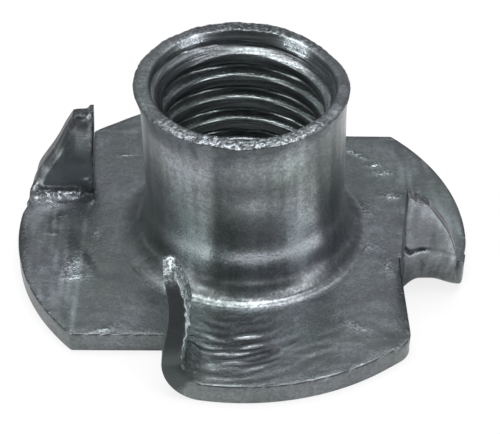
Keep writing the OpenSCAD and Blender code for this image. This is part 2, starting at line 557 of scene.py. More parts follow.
def back_crease(plan, turn, sizes):
    """Depth of the crease across the back of prong 1, above its fold"""
    u, s = from_plan(plan, turn)
    groove = bell(s + CREASE_SLOPE * (u - sizes.cut_u), 5.68, 0.12) * (1 - smooth(u, 9.7, 10.8))
    return 0.12 * groove * (prong_of(turn) == 1)


def roll_over(gap):
    """Depth by which the face droops towards a sheared edge at a distance: 0.03 (1 - d / 0.45)^2"""
    return 0.03 * np.clip(1 - gap / 0.45, 0, 1) ** 2


def leaning(radius, height):
    """Sideways lean of the drawn barrel, none at the flange"""
    return (0.26 - 0.03 * height) * (1 - smooth(radius, 5.9, 7.2))


def rim_dip(angle):
    """Depth by which the sheared rim falls short of full height, round the turn"""
    dip = 0.28 * bell(angle_gap(angle, 33), 0, 26) + 0.05 * bell(angle_gap(angle, -150), 0, 30)
    return dip + 0.022 * np.maximum(1.8 + ripple(angle, 31, 3, 19), 0)


# Height of the thread's crest at angle 0
THREAD_START = 0.465
# Steps of the mouth: how far below the rim each starts, how high it is, and how far it opens the bore
MOUTH_STEPS = ((1.28, 0.16, 0.26), (1.05, 0.85, 0.38))


def thread_phase(angle, height, sizes):
    """Turns of the thread at a height: (z - z0) / p - a / 2 pi"""
    return (height - THREAD_START) / sizes.pitch - angle / (2 * math.pi)


def thread_rows(angle, count, low, high, sizes):
    """Heights of rows round the bore that crowd on the thread's flanks.

    The rows are even steps of z - 0.6 p sin(4 pi phase) / 4 pi, and z is found from that by repetition.
    """

    def pull(z):
        """How far a row is pulled along from an even step"""
        return 0.6 * sizes.pitch / (4 * math.pi) * np.sin(4 * math.pi * thread_phase(angle, z, sizes))

    share = np.linspace(0, 1, count + 1)[:, None]
    target = low - pull(low) + (high - pull(high) - low + pull(low)) * share
    z = low + (high - low) * share + 0 * angle
    for _ in range(30):
        z = target + pull(z)
    z[0], z[-1] = low, high
    return z


def bore_radius(angle, height, sizes):
    """Radius of the threaded bore.

    The thread is right-handed, with its crest at phase 0. The form is a flat crest, a straight flank and a
    flat root, a little softened. It starts above the drawn radius, and the wider mouth cuts into it.
    """
    phase = abs((thread_phase(angle, height, sizes) + 0.5) % 1 - 0.5) * 2
    form = 0.25 * smooth(phase, 0.3, 0.9) + 0.71 * np.clip((phase - 0.38) / 0.48, 0, 1)
    form = form + 0.04 * np.clip(phase / 0.38, 0, 1) ** 2
    form = form * smooth(height, 0.9, 2.6)
    mouth = sizes.crest_r
    for depth, high, opening in MOUTH_STEPS:
        mouth = mouth + opening * np.clip((height - sizes.height + depth) / high, 0, 1)
    return soft_max(sizes.crest_r + sizes.thread_depth * form, mouth, 0.03)


def painted_glints(angle, width):
    """Where the two painted glints sit in the mouth, 36 degrees either side of the back"""
    return bell(abs(angle_gap(angle, 90)), 36, width)


def bore_marks(angle, height, sizes):
    """Tone and wear of the bore: painted highlights on the flank above each crest, painted shade on the
    crest's underside and the flank below it and in two lines under the mouth, and two painted glints in the
    mouth"""
    phase = ((thread_phase(angle, height, sizes) + 0.5) % 1 - 0.5) * 2
    below = height - sizes.height
    mouth = smooth(below, -1.0, -0.82)
    flank = bell(phase, 0.58, 0.26) * (1 - mouth)
    # Painted highlight on the upward flank; painted shade on the crest's lower side and the flank below it
    thread = 0.1 * flank - 0.35 * bell(phase, -0.1, 0.25) - 0.65 * bell(phase, -0.5, 0.3)
    # Painted shade in two lines under the mouth
    thread = thread - 0.2 * bell(below, -1.2, 0.12) - 0.3 * bell(below, -0.98, 0.12)
    # Two painted glints near the top of the mouth
    painted_glint = painted_glints(angle, 9) * bell(below, -0.3, 0.32)
    tone = thread * (1 - mouth) + 0.05 * mouth + 1.8 * painted_glint
    return tone, np.maximum(0.7 * painted_glint, 0.22 * flank)


# Height over which the lip flares out, and depth below the rim at which its upright end stops
LIP_H = 1.8
LIP_END = 0.22
# How much wider the barrel is above its fillet
BULGE = 0.2


def barrel_profile(sizes):
    """Outside of the barrel from the rim down to the flange's face: radius and height"""
    z = sizes.height - LIP_END - (LIP_H - LIP_END) * spread(14)
    rise = np.maximum((z - sizes.height + LIP_H) / LIP_H, 0)
    lip = sizes.barrel_r + (sizes.lip_r - sizes.barrel_r) * rise**1.8
    foot_z = sizes.sheet + sizes.fillet
    wall_z = z[-1] + (foot_z - z[-1]) * (1 - (1 - spread(22)[1:]) ** 1.5)
    wall = sizes.barrel_r + BULGE * (1 - smooth(wall_z, 3.0, 4.4))
    bend = (1 - (1 - spread(26)[1:]) ** 1.35) * math.pi / 2
    fillet = sizes.barrel_r + BULGE + (sizes.fillet - BULGE) * (1 - np.cos(bend))
    fillet_z = foot_z - sizes.fillet * np.sin(bend)
    return np.concatenate([lip, wall, fillet]), np.concatenate([z, wall_z, fillet_z])


# Painted highlights and painted shade in patches on the barrel's side, in place of its reflections: angle and
# width in degrees, lowest and highest height, and tone
BARREL_PAINTED_REFLECTIONS = (
    (-118, 11, 2.5, 6.0, 0.35),
    (-118, 13, 6.5, 10.5, 0.15),
    (-65, 12, 8.0, 11.0, 0.2),
    (-57, 9, 3.0, 6.5, 0.45),
    (-88, 36, 3.2, 4.3, 0.35),
    (-90, 15, 5.5, 11.0, -0.15),
    (-88, 22, 7.8, 8.4, -0.22),
    (-84, 22, 6.6, 7.7, 0.16),
    (-90, 20, 4.6, 6.2, -0.15),
    (-114, 10, 3.6, 4.6, 0.2),
    (-62, 14, 3.4, 4.3, 0.2),
    (-30, 10, 3.5, 10.0, -0.45),
    (-160, 14, 2.0, 8.0, -0.2),
)


def barrel_tone_and_painted_light(angle, radius, height):
    """Faint random bands of tone up the barrel, painted highlights and shade in patches on its side, and on
    the foot's fillet a painted highlight in front with rings of painted light and shade, and painted shade at
    the sides
    """
    tone = 0.04 * ripple(angle, 41, 5, 17) + 0.03 * ripple(angle, 42, 20, 60) + 0 * height
    # A painted highlight with rings of painted light and shade across the front of the foot's fillet
    foot, front = bell(height, 1.2, 0.35), angle_gap(angle, -90)
    rings = np.sin(2 * math.pi * radius / 0.21 + 0.7 * ripple(angle, 43, 2, 9, 8))
    line = radius + 0.02 * ripple(angle, 44, 2, 12, 8)
    lines = 0.7 * bell(line, 6.41, 0.05) + 0.35 * bell(line, 6.72, 0.05)
    tone = tone + foot * bell(front, 0, 38) * (0.2 + 0.16 * rings - lines)
    # Painted shade in the fillet away from the front, darkest close to the barrel
    side = (1 - bell(front, 0, 42)) * (1 - 0.45 * smooth(front, 30, 60))
    tone = tone - foot * side * (0.1 + 0.35 * (1 - smooth(radius, 6.0, 6.5)))
    for middle, width, low, high, strength in BARREL_PAINTED_REFLECTIONS:
        band = bell(height, (low + high) / 2, (high - low) / 2)
        tone = tone + strength * bell(angle_gap(angle, middle), 0, width) * band
    return tone


# ---------------------------------------------------------------------------------------------------------
# The skin
# ---------------------------------------------------------------------------------------------------------


# Bend between two faces above which their edge is a sharp one
SHARP_ANGLE = math.radians(42)


class Skin:
    """Points and four-sided faces gathered from grids that share whole rows or columns of points"""

    def __init__(self):
        self.points, self.masks, self.faces, self.finishes = [], [], [], []
        self.total = 0

    def add(self, plan, height, tone, worn):
        """Keep a grid of points with their tone and wear, and return the grid of their numbers"""
        plan, height, tone, worn = np.broadcast_arrays(plan, height, tone, worn)
        self.points.append(np.stack([plan.real, plan.imag, height], axis=-1).reshape(-1, 3))
        self.masks.append(np.stack([tone, worn]).reshape(2, -1))
        numbers = self.total + np.arange(plan.size).reshape(plan.shape)
        self.total += plan.size
        return numbers

    def cover(self, numbers, finish):
        """Faces between the neighbouring rows and columns of a grid of numbers"""
        corners = (numbers[:-1, :-1], numbers[:-1, 1:], numbers[1:, 1:], numbers[1:, :-1])
        self.keep(np.stack(corners, axis=-1).reshape(-1, 4), finish)

    def halve(self, fine, coarse, finish, flip=False):
        """Five-sided faces between a closed row of points and one with half as many"""
        ends = np.stack([fine[:-1:2], fine[1::2], fine[2::2], coarse[1:], coarse[:-1]], axis=-1)
        self.keep(ends[:, ::-1] if flip else ends, finish)

    def keep(self, faces, finish):
        """Keep faces of one finish"""
        self.faces.append(faces)
        self.finishes.append(np.full(len(faces), finish))

    def mesh(self, name):
        """The mesh in metres, smooth, with a finish on each face and both masks on each point"""
        faces = [face for part in self.faces for face in part.tolist()]
        mesh = bpy.data.meshes.new(name)
        mesh.from_pydata(np.concatenate(self.points) * MM, [], faces)
        mesh.polygons.foreach_set("material_index", np.concatenate(self.finishes).astype(np.int32))
        mesh.polygons.foreach_set("use_smooth", np.ones(len(faces), bool))
        masks = np.concatenate(self.masks, axis=1).astype(np.float32)
        for mask, values in zip(("tone", "worn"), masks):
            mesh.attributes.new(mask, "FLOAT", "POINT").data.foreach_set("value", values)
        mesh.update()
        mesh.set_sharp_from_angle(angle=SHARP_ANGLE)
        soften(mesh, THREAD)
        return mesh


def soften(mesh, finish):
    """Take the sharp edges away from the faces of one finish"""
    corners, edges = np.zeros(len(mesh.polygons), np.int32), np.zeros(len(mesh.loops), np.int32)
    kinds, sharp = corners.copy(), np.zeros(len(mesh.edges), bool)
    mesh.polygons.foreach_get("loop_total", corners)
    mesh.polygons.foreach_get("material_index", kinds)
    mesh.loops.foreach_get("edge_index", edges)
    mesh.edges.foreach_get("use_edge_sharp", sharp)
    sharp[edges[np.repeat(kinds, corners) == finish]] = False
    mesh.edges.foreach_set("use_edge_sharp", sharp)


def close(numbers):
    """The grid with its first column repeated after its last"""
    return np.concatenate([numbers, numbers[:, :1]], axis=1)


def lay(skin, plan, height, turn, lifted, sizes, gap=None, face=True):
    """Press the marks into a grid of blank points, fold it and keep it"""
    if gap is None:
        gap = edge_distance(plan, turn, sizes)
    worn, tone = blade_marks(plan, turn, lifted, face, sizes)
    if face:
        scuffed, light = scuffs(plan)
        # Painted light and shade along the pressed lines on top of their relief, and painted shade over the
        # front lobe
        light = light + 0.28 * drawn_lines(plan) - 0.2 * bell(abs(plan + 10j), 0, 2.4)
        chipped = 0.8 * np.exp(-gap / 0.14) * np.clip(swell(plan, 61, 1.0), 0, 1)
        rubbed = 0.14 * bell(abs(plan + 9.5j), 0, 3)
        worn = np.maximum(np.maximum(worn, scuffed), np.maximum(rubbed, chipped))
        # Painted shade on the face close to its sheared edge
        tone = tone + light - 0.45 * np.exp(-gap / 0.09)
        height = height - roll_over(gap) + pressing_waves(plan, turn, sizes)
        height = height - blade_bevel(plan, turn, sizes) * lifted
    else:
        height = height + back_crease(plan, turn, sizes) * lifted
    folded, height = fold(plan, height, turn, lifted, sizes)
    return skin.add(folded, height, tone, worn)


def outline_loop(local, sizes):
    """The blank's whole outline, clockwise, with each prong's free edges between its lobe and its chord.

    Returns the plan points, the outward directions, the turns, which points the fold lifts, and where in the
    loop each column of the flange is.
    """
    plans, turns, lifted, columns = [], [], [], np.zeros(len(local), int)
    count = 0
    for order, quarter in enumerate(CLOCKWISE):
        u, s = blade(0.0, quarter, sizes)
        free_u = np.concatenate([u[1:, 0], u[-1, 1:], u[-2:0:-1, -1]])
        free_s = np.concatenate([s[1:, 0], s[-1, 1:], s[-2:0:-1, -1]])
        angle = local[:QUARTER]
        way = TURNS[quarter]
        reach = outline(angle, CORNER_R[quarter], CORNER_R[(quarter + 1) % PRONGS], sizes)
        plan = reach * to_plan(np.cos(angle), np.sin(angle), way)
        free = to_plan(free_u, free_s, way)
        part = np.concatenate([plan[: LOBE_COLUMNS + 1], free, plan[ROOT:]])
        plans.append(part)
        turns.append(np.full(len(part), way))
        raised = np.zeros(len(part), bool)
        raised[: LOBE_COLUMNS + 1 + len(free)] = True
        lifted.append(raised)
        first = order * QUARTER
        columns[first : first + LOBE_COLUMNS + 1] = count + np.arange(LOBE_COLUMNS + 1)
        after = count + LOBE_COLUMNS + 1 + len(free)
        columns[first + ROOT : first + QUARTER] = after + np.arange(QUARTER - ROOT)
        count += len(part)
    plan, turns, lifted = np.concatenate(plans), np.concatenate(turns), np.concatenate(lifted)
    along = np.roll(plan, -1) - np.roll(plan, 1)
    outward = 1j * along / np.maximum(abs(along), 1e-9)
    roots = columns[ROOT::QUARTER]
    outward[roots] = to_plan(0, 1, turns[roots])
    return plan, outward, turns, lifted, columns


def flange_edge(inset, local, turn, loop, sizes):
    """Blank points that end each column of the flange: on the outline drawn in, or on the slit's end line"""
    plan, outward, _, _, columns = loop
    place = np.arange(len(local)) % QUARTER
    end = plan[columns] - inset * outward[columns]
    on_slit = (place > LOBE_COLUMNS) & (place < ROOT)
    return np.where(on_slit, to_plan(sizes.slit_s / np.tan(np.maximum(local, 0.1)), sizes.slit_s, turn), end)


def lip_form(angle):
    """How far the barrel is out of round, as a share, and how far its lip stands out, round the turn"""
    off_round = 1 + 0.0016 * ripple(angle, 3, 2, 5) + 0.0006 * ripple(angle, 4, 6, 17)
    return off_round, 0.07 * np.cos(angle - math.pi) + 0.2 * bell(angle_gap(angle, 90), 0, 50)


def outside_rows(skin, around, sizes):
    """Rows down the outside of the barrel, with a faint ring pressed into the front of its foot"""
    angle = np.angle(around)
    off_round, lip = lip_form(angle)
    radius, z = (values[:, None] for values in barrel_profile(sizes))
    wide = radius * np.where(z > sizes.sheet + 0.02, off_round, 1)
    wide = wide + smooth(z, sizes.height - 1.9, sizes.height) * lip
    top = smooth(z, sizes.height - 1.6, sizes.height)
    near = bell(angle_gap(angle, -90), 0, 46)
    ring = 0.028 * bell(radius, 6.58, 0.13) * near * (z < 3)
    tone = barrel_tone_and_painted_light(angle, radius, z)
    worn = 0.3 * np.maximum(near * bell(z, 1.3, 0.3), np.clip(tone, 0, 1))
    return skin.add(wide * around + leaning(radius, z), z - rim_dip(angle) * top + ring, tone, worn)


def flange_rows(skin, start, end, steps, height, turn, face, sizes):
    """Rows between two lines of the blank, on the flange's face or its underside"""
    plan = start + (end - start) * steps[:, None]
    lifted = from_plan(plan, turn)[0] > sizes.cut_u + 1e-6
    return lay(skin, plan, height, turn, lifted, sizes, face=face)


def bore_rows(skin, around, sizes):
    """Rows up the bore: the drawn radius at its foot, then the thread and the mouth"""
    angle = np.angle(around)
    bend = spread(DRAW_ROWS)[:-1, None] * math.pi / 2 + 0 * angle
    thread_z = thread_rows(angle, THREAD_ROWS, sizes.draw, sizes.height - 0.3, sizes)
    z = np.concatenate([sizes.draw * (1 - np.cos(bend)), thread_z])
    radius = sizes.crest_r + np.concatenate([sizes.draw * (1 - np.sin(bend)), 0 * thread_z])
    radius = np.maximum(radius, bore_radius(angle, z, sizes))
    top = smooth(z, sizes.height - 2.0, sizes.height - 0.3)
    tone, worn = bore_marks(angle, z, sizes)
    return skin.add(radius * around + leaning(radius, z), z - rim_dip(angle) * top, tone, worn)


# Profile of the rim, from the bore outwards: radius and depth below its highest line
RIM_R = (4.99, 5.02, 5.08, 5.2, 5.34, 5.48, 5.62, 5.73, 5.8)
RIM_DEPTH = (0.19, 0.09, 0.03, 0.01, 0.0, 0.01, 0.03, 0.07, 0.13)


def rim_rows(skin, around, sizes):
    """Rows across the sheared rim: torn bright in front, stained dark behind, and smoother at the sides, with
    two painted glints at its inner edge
    """
    angle = np.angle(around)
    off_round, lip = lip_form(angle)
    radius = np.array(RIM_R)[:, None]
    z = sizes.height - np.array(RIM_DEPTH)[:, None]
    ragged = ripple(angle, 21, 20, 110, 60) + 4 * (radius - 5.3) * ripple(angle, 22, 30, 110, 40)
    ragged = 0.5 + 0.5 * np.tanh(1.4 * ragged)
    middle = bell(radius, 5.35, 0.3)
    wide = radius + 0.02 * ripple(angle, 23, 25, 100, 50) * bell(radius, 5.7, 0.12)
    wide = wide + smooth(radius, 5.05, 5.8) * (lip + (off_round - 1) * 5.75)
    torn, dark = bell(angle_gap(angle, -90), 0, 42), bell(angle_gap(angle, 84), 0, 34)
    ragged = ragged * (0.15 + 0.85 * np.maximum(torn, dark))
    # Painted glints where the rim meets the mouth
    painted_glint = painted_glints(angle, 8) * (1 - smooth(radius, 5.1, 5.3))
    tone = (0.45 * torn * ragged - 0.35 * dark) * middle + 0.9 * painted_glint
    worn = np.maximum((0.15 + torn + 0.9 * dark) * smooth(radius, 4.99, 5.1), 0.6 * painted_glint)
    height = z - rim_dip(angle) - 0.07 * ragged * middle
    return skin.add(wide * around + leaning(wide, z), height, tone, worn)


def nut_skin(sizes):
    """The whole nut as one closed skin, by rows from the rim down the barrel, out over the flange, round its
    edge, in under it and up the bore"""
    skin = Skin()
    local = np.tile(quarter_angles(sizes), PRONGS)
    turn = np.repeat(TURNS[CLOCKWISE], QUARTER)
    around = to_plan(np.cos(local), np.sin(local), turn)
    loop = outline_loop(local, sizes)

    outside = outside_rows(skin, around, sizes)
    foot = (sizes.barrel_r + sizes.fillet) * around
    edge = flange_edge(EDGE_TOP, local, turn, loop, sizes)
    steps = np.concatenate([spread(FACE_ROWS, -0.3)[1:-1], [0.986, 1.0]])
    face = flange_rows(skin, foot, edge, steps, sizes.sheet, turn, True, sizes)
    edge = flange_edge(EDGE_UNDER, local, turn, loop, sizes)
    hole = (sizes.crest_r + sizes.draw) * around
    under = flange_rows(skin, edge, hole, spread(UNDER_ROWS, 0.3)[:-1], 0.0, turn, False, sizes)
    bore = bore_rows(skin, around[::2], sizes)
    rim = rim_rows(skin, around, sizes)

    skin.cover(close(outside), BARREL)
    skin.cover(close(np.concatenate([outside[-1:], face[:1]])), BARREL)
    skin.cover(close(face), SHEET)
    skin.cover(close(under), SHEET)
    skin.halve(close(under)[-1], close(bore)[0], SHEET)
    skin.cover(close(bore), THREAD)
    skin.halve(close(rim)[0], close(bore)[-1], SHEARED, flip=True)
    skin.cover(close(np.concatenate([rim, outside[:1]])), SHEARED)
    blades(skin, face[-1], under[0], loop, sizes)
    return skin


def blades(skin, face_end, under_end, loop, sizes):
    """The prongs' faces and backs, and the sheared wall along the whole outline"""
    tops, unders = [], []
    for order, quarter in enumerate(CLOCKWISE):
        first = order * QUARTER
        slit = slice(first + LOBE_COLUMNS, first + ROOT + 1)
        way = TURNS[quarter]
        for inset, height, row, ends, is_face in (
            (EDGE_TOP, sizes.sheet, face_end, tops, True),
            (EDGE_UNDER, 0.0, under_end, unders, False),
        ):
            u, s = blade(inset, quarter, sizes)
            u, s = u[1:], s[1:]
            gap = np.minimum(blade_edge(s, sizes) - u, u - sizes.cut_u)
            gap = np.minimum(gap, s[-1] + inset - s)
            grid = lay(skin, to_plan(u, s, way), height, way, np.ones(u.shape, bool), sizes, gap, is_face)
            grid = np.concatenate([row[slit][None], grid])
            skin.cover(grid if is_face else grid[::-1], SHEET)
            lobe = row[first : first + LOBE_COLUMNS + 1]
            chord = row[first + ROOT : first + QUARTER]
            ends.append(np.concatenate([lobe, grid[1:, 0], grid[-1, 1:], grid[-2:0:-1, -1], chord]))
    sheared_wall(skin, np.concatenate(tops), np.concatenate(unders), loop, sizes)


# The wall's eight rows are three round its upper edge, two down it and three round its lower edge. These are
# the height and the inset of the middle two, how far each row domes out at the tip of prong 0, and how
# strongly each row is worn and broken up by patches of painted shade and light
WALL_MIDDLE = ((0.72, 0.004), (0.36, 0.022))
DOME = (0, 0.02, 0.07, 0.17, 0.14, 0.04, 0, 0)
RIDGE = (1.0, 0.7, 0.1, 0, 0, 0, 0, 0)
# Painted light and shade on each prong's wall along the inner edge, the outer edge and the tip, and how worn
# the tip is
INNER_PAINTED_LIGHT = (0.0, 0.3, 0.0, 0.1)
OUTER_PAINTED_SHADE = (-0.65, -0.35, 0.0, -0.35)
TIP_PAINTED_LIGHT_AND_SHADE = (0.4, 0.0, 0.1, -0.3)
WALL_WEAR = (0.8, 0.25, 0.5, 0.3)


def sheared_wall(skin, top, under, loop, sizes):
    """The sheared wall with its rounded edges, between the ends of the face and those of the underside"""
    plan, outward, turns, raised, _ = loop
    u, s = from_plan(plan, turns)
    prong = prong_of(turns)
    tip = smooth(s, 8.0, 8.8) * raised
    lifted = raised & (u > sizes.cut_u - 1e-6)
    tilt = np.radians([30, 60, 90])[:, None]
    middle_z, middle_in = np.array(WALL_MIDDLE).T[:, :, None]
    over_in, under_in = EDGE_TOP * (1 - np.sin(tilt)), EDGE_UNDER * (1 - np.sin(tilt[::-1]))
    inset = np.concatenate([over_in, middle_in, under_in]) + 0 * plan.real
    inset[4] += np.maximum(0.012 * swell(plan, 51, 0.9), -0.02)
    dome = np.array(DOME)[:, None] * (prong == 0)
    inset = inset - tip * (dome + 0.03 * swell(plan, 53, 0.35) * (dome > 0.03))
    over_z = sizes.sheet - roll_over(over_in) - EDGE_TOP * (1 - np.cos(tilt))
    over_z = over_z - blade_bevel(plan, turns, sizes) * lifted
    under_z = EDGE_UNDER * (1 - np.cos(tilt[::-1]))
    height = np.concatenate([over_z, middle_z + 0 * plan.real, under_z + 0 * plan.real])
    folded, height = fold(plan - inset * outward, height, turns, np.broadcast_to(lifted, height.shape), sizes)

    # Painted light and shade on the prongs' walls and tips, and patches of painted shade and light that break
    # up the highlight along the upper edge
    tone = np.where(u < sizes.cut_u + 0.7, each(INNER_PAINTED_LIGHT, prong), each(OUTER_PAINTED_SHADE, prong))
    tone = tone * smooth(s, 2.7, 3.6) * lifted * (1 - tip) - 0.1
    ridge = np.array(RIDGE)[:, None]
    broken = np.clip(1.6 * swell(plan, 52, 0.7), 0, 1) - 0.8
    tone = tone + each(TIP_PAINTED_LIGHT_AND_SHADE, prong) * tip + ridge * broken * (1 - tip)
    worn = 0.12 + each(WALL_WEAR, prong) * tip + 0.3 * ridge
    wall = skin.add(folded, height, tone, worn)
    skin.cover(close(np.concatenate([top[None], wall, under[None]])), SHEARED)


# ---------------------------------------------------------------------------------------------------------
# Finishes
# ---------------------------------------------------------------------------------------------------------


def node(tree, kind, inputs=None, **settings):
    """A new node with its settings, its inputs set to values or linked from sockets"""
    made = tree.nodes.new(kind)
    for name, value in settings.items():
        setattr(made, name, value)
    for key, value in (inputs or {}).items():
        if isinstance(value, bpy.types.NodeSocket):
            tree.links.new(value, made.inputs[key])
        else:
            made.inputs[key].default_value = value
    return made


def maths(tree, operation, a, b=0.0, c=0.0, clamp=False):
    """The result of a Math node"""
    made = node(tree, "ShaderNodeMath", {0: a, 1: b, 2: c}, operation=operation, use_clamp=clamp)
    return made.outputs[0]


def blank_tree(owner, kind):
    """The emptied node tree of a material or a world, and its output node"""
    owner.use_nodes = True
    tree = owner.node_tree
    tree.nodes.clear()
    return tree, node(tree, kind)


def new_group(name, inputs, outputs):
    """An empty shader group with named float sockets, and its input and output nodes"""
    group = bpy.data.node_groups.new(name, "ShaderNodeTree")
    for socket, default in inputs.items():
        made = group.interface.new_socket(socket, in_out="INPUT", socket_type="NodeSocketFloat")
        made.default_value = default
    for socket in outputs:
        group.interface.new_socket(socket, in_out="OUTPUT", socket_type="NodeSocketFloat")
    return group, node(group, "NodeGroupInput"), node(group, "NodeGroupOutput")


def noise(tree, vector, scale, detail=2.0, roughness=0.5):
    """Noise at a vector, from 0 to 1"""
    inputs = {"Vector": vector, "Scale": scale, "Detail": detail, "Roughness": roughness}
    return node(tree, "ShaderNodeTexNoise", inputs).outputs[0]


def stretched(tree, vector, scale):
    """A vector scaled on its three axes"""
    return node(tree, "ShaderNodeMapping", {"Vector": vector, "Scale": scale}).outputs[0]


def object_place(tree):
    """A point's place on its own object"""
    return node(tree, "ShaderNodeTexCoord").outputs["Object"]


def colour_ramp(tree, value, stops):
    """The colour of a ramp at a value; stops holds a colour for each position"""
    ramp = node(tree, "ShaderNodeValToRGB", {"Fac": value})
    first, *between, last = sorted(stops)
    elements = ramp.color_ramp.elements
    elements[0].position, elements[0].color = first, (*stops[first], 1)
    elements[1].position, elements[1].color = last, (*stops[last], 1)
    for position in between:
        elements.new(position).color = (*stops[position], 1)
    return ramp.outputs["Color"]


def mixed(tree, share, a, b, blend="MIX"):
    """Colour a blended with colour b by a share"""
    inputs = {"Factor": share, 6: a, 7: b}
    return node(tree, "ShaderNodeMix", inputs, data_type="RGBA", blend_type=blend).outputs[2]


def about_half(tree, value, strength):
    """How far a value is above 0.5, times a strength"""
    return maths(tree, "MULTIPLY", maths(tree, "SUBTRACT", value, 0.5), strength)


def plating_group():
    """Mottle of the plating: clouds, crystals and fine grain, as a tone, a height and specks round 0.5"""
    tree, given, out = new_group("plating_mottle", {"Clouds": 0.5, "Grain": 0.5}, ("Tone", "Height", "Speck"))
    place = object_place(tree)
    crystals = maths(tree, "MULTIPLY", noise(tree, place, 2600, 2), 0.35)
    fine = maths(tree, "ADD", crystals, maths(tree, "MULTIPLY", noise(tree, place, 7000, 2, 0.7), 0.65))
    clouds = about_half(tree, noise(tree, place, 420, 3), given.outputs["Clouds"])
    grain = about_half(tree, fine, given.outputs["Grain"])
    tree.links.new(maths(tree, "ADD", clouds, grain), out.inputs["Tone"])
    tree.links.new(fine, out.inputs["Height"])
    tree.links.new(noise(tree, place, 5200, 3, 0.6), out.inputs["Speck"])
    return tree


# Turn of each set of scratches in radians, and its scale along the scratches
SCRATCH_WAYS = ((0.5, 260), (-0.9, 300), (1.9, 240))


def scratch_group():
    """Fine scratches: stretched noise cut to its crests, in three directions, thinned by clouds"""
    tree, given, out = new_group("fine_scratches", {"Amount": 0.5}, ("Mask",))
    place = object_place(tree)
    marks = []
    for turn, thin in SCRATCH_WAYS:
        way = node(tree, "ShaderNodeMapping", {"Vector": place, "Rotation": (0, 0, turn)}).outputs[0]
        lines = noise(tree, stretched(tree, way, (thin, 6000, 1200)), 1.0, 1)
        marks.append(maths(tree, "MULTIPLY", maths(tree, "SUBTRACT", lines, 0.68), 9.0, clamp=True))
    most = maths(tree, "MAXIMUM", maths(tree, "MAXIMUM", marks[0], marks[1]), marks[2])
    clouds = maths(tree, "SUBTRACT", noise(tree, place, 500, 2), 0.45)
    where = maths(tree, "MULTIPLY", clouds, 5.0, clamp=True)
    mask = maths(tree, "MULTIPLY", maths(tree, "MULTIPLY", most, where), given.outputs["Amount"])
    tree.links.new(mask, out.inputs["Mask"])
    return tree


def plated_colour(tree, tone, finish):
    """Colour of the plating at a tone from 0 to 1, under the two tints of its film"""
    metal = colour_ramp(tree, tone, {0.08: finish.dull_and_shade, 0.5: finish.zinc, 0.95: finish.polished_and_highlight})
    share = maths(tree, "MULTIPLY_ADD", noise(tree, object_place(tree), 190, 1), 4.0, -1.5, clamp=True)
    film = mixed(tree, share, (*finish.green, 1), (*finish.violet, 1))
    return mixed(tree, 1.0, metal, film, "MULTIPLY")


def bumped(tree, height, depth, below=None):
    """The normal of a relief that is depth millimetres high, on top of another normal"""
    inputs = {"Height": height, "Distance": depth * MM, "Strength": 1.0}
    if below is not None:
        inputs["Normal"] = below
    return node(tree, "ShaderNodeBump", inputs).outputs["Normal"]


# Marks of each finish: strengths of the clouds, the grain and the scratches, height of the grain in
# millimetres, what is added to the roughness, stretch of the tool marks on each axis, and share of bare metal
# under the haze
FINISHES = {
    "zinc_sheet": (0.45, 0.7, 0.2, 0.013, 0.0, None, 0.86),
    "zinc_drawn": (0.5, 1.0, 0.25, 0.01, 0.05, None, 0.86),
    "zinc_sheared": (0.4, 0.6, 0.1, 0.012, 0.08, None, 0.86),
    "zinc_thread": (0.3, 0.5, 0.1, 0.009, -0.06, (300, 300, 9000), 0.74),
}


def zinc_finish(name, finish, groups):
    """A material of bright zinc with the marks of its finish, speckled and pitted where the skin is worn"""
    clouds, grain, scratches, bump, rough, lines, metal = FINISHES[name]
    material = bpy.data.materials.new(name)
    tree, out = blank_tree(material, "ShaderNodeOutputMaterial")
    mottle = node(tree, "ShaderNodeGroup", node_tree=groups["mottle"])
    mottle.inputs["Clouds"].default_value = clouds
    mottle.inputs["Grain"].default_value = grain
    scratched = node(tree, "ShaderNodeGroup", node_tree=groups["scratches"])
    scratched.inputs["Amount"].default_value = scratches
    mask = scratched.outputs["Mask"]
    # The tone mask holds the skin's own tone together with its painted light and shade
    tone = node(tree, "ShaderNodeAttribute", attribute_name="tone").outputs["Fac"]
    worn = node(tree, "ShaderNodeAttribute", attribute_name="worn").outputs["Fac"]
    tone = maths(tree, "ADD", maths(tree, "ADD", mottle.outputs["Tone"], tone), 0.5)
    height = mottle.outputs["Height"]
    if lines:
        tool = noise(tree, stretched(tree, object_place(tree), lines), 1.0, 3, 0.6)
        tone = maths(tree, "ADD", tone, about_half(tree, tool, 1.9))
        height = maths(tree, "ADD", height, maths(tree, "MULTIPLY", tool, 1.5))
    tone = maths(tree, "ADD", tone, maths(tree, "MULTIPLY", mask, 0.45))
    specks = about_half(tree, mottle.outputs["Speck"], worn)
    tone = maths(tree, "MULTIPLY_ADD", specks, 4.0, tone, clamp=True)
    height = maths(tree, "SUBTRACT", height, maths(tree, "MULTIPLY", mask, 0.8))
    pitted = bumped(tree, maths(tree, "MULTIPLY", mottle.outputs["Speck"], worn), 0.07)
    surface = {
        "Base Color": plated_colour(tree, tone, finish),
        "Metallic": metal,
        "Roughness": maths(tree, "MULTIPLY_ADD", tone, -0.16, finish.gloss + rough + 0.08),
        "Normal": bumped(tree, height, bump, pitted),
    }
    shader = node(tree, "ShaderNodeBsdfPrincipled", surface)
    tree.links.new(shader.outputs[0], out.inputs["Surface"])
    return material


# ---------------------------------------------------------------------------------------------------------
# Studio
# ---------------------------------------------------------------------------------------------------------


def backdrop_ray(tree):
    """1 for a ray that sees the backdrop off gloss or through glass, and 1 for one from the camera itself"""
    rays = node(tree, "ShaderNodeLightPath").outputs
    return maths(tree, "MAXIMUM", rays["Is Glossy Ray"], rays["Is Transmission Ray"]), rays["Is Camera Ray"]


